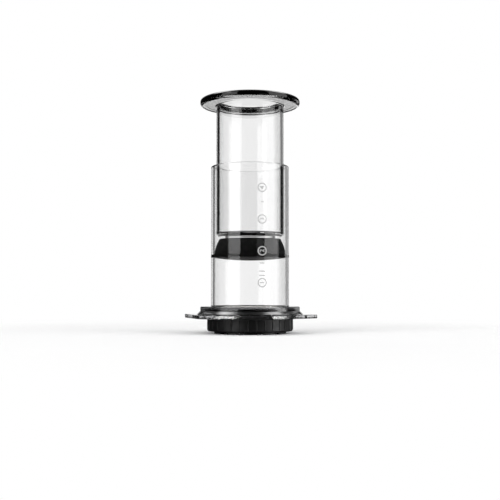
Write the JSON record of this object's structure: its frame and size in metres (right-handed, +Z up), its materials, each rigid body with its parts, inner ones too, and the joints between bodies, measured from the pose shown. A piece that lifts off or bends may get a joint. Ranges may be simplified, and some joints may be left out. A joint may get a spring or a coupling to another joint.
{
  "type": "manual coffee press",
  "caption": "Hand coffee press: clear chamber with a hexagonal flange to rest on a mug, clear sliding plunger with a rubber seal, and a twist-off perforated filter cap.",
  "frame": {"origin": "centre of the foot ring's underside, on the axis of the chamber", "axes": "+Z up the chamber and the plunger; +X towards one corner of the hexagonal flange"},
  "size_m": [0.1116, 0.0988, 0.1934],
  "materials": {
    "clear_plastic": "clear, polished",
    "seal_rubber": "satin",
    "black_plastic": "fine matte",
    "filter_paper": "creped, matte"
  },
  "bodies": {
    "chamber": {"chamber": "clear_plastic"},
    "cap": {"filter_cap": "black_plastic", "paper_filter": "filter_paper"},
    "seal": {"seal": "seal_rubber"},
    "plunger": {"plunger": "clear_plastic"}
  },
  "joints": [
    {"name": "plunger_slide", "type": "slide", "parent": "chamber", "child": "seal", "axis": [0, 0, 1], "range_m": [-0.05, 0.0783]},
    {"name": "plunger_turn", "type": "hinge", "parent": "seal", "child": "plunger", "pos_m": [0, 0, 0.0785], "axis": [0, 0, 1], "continuous": true},
    {"name": "cap_turn", "type": "hinge", "parent": "chamber", "child": "cap", "pos_m": [0, 0, 0.0137], "axis": [0, 0, 1], "range_deg": [-50, 0]}
  ]
}
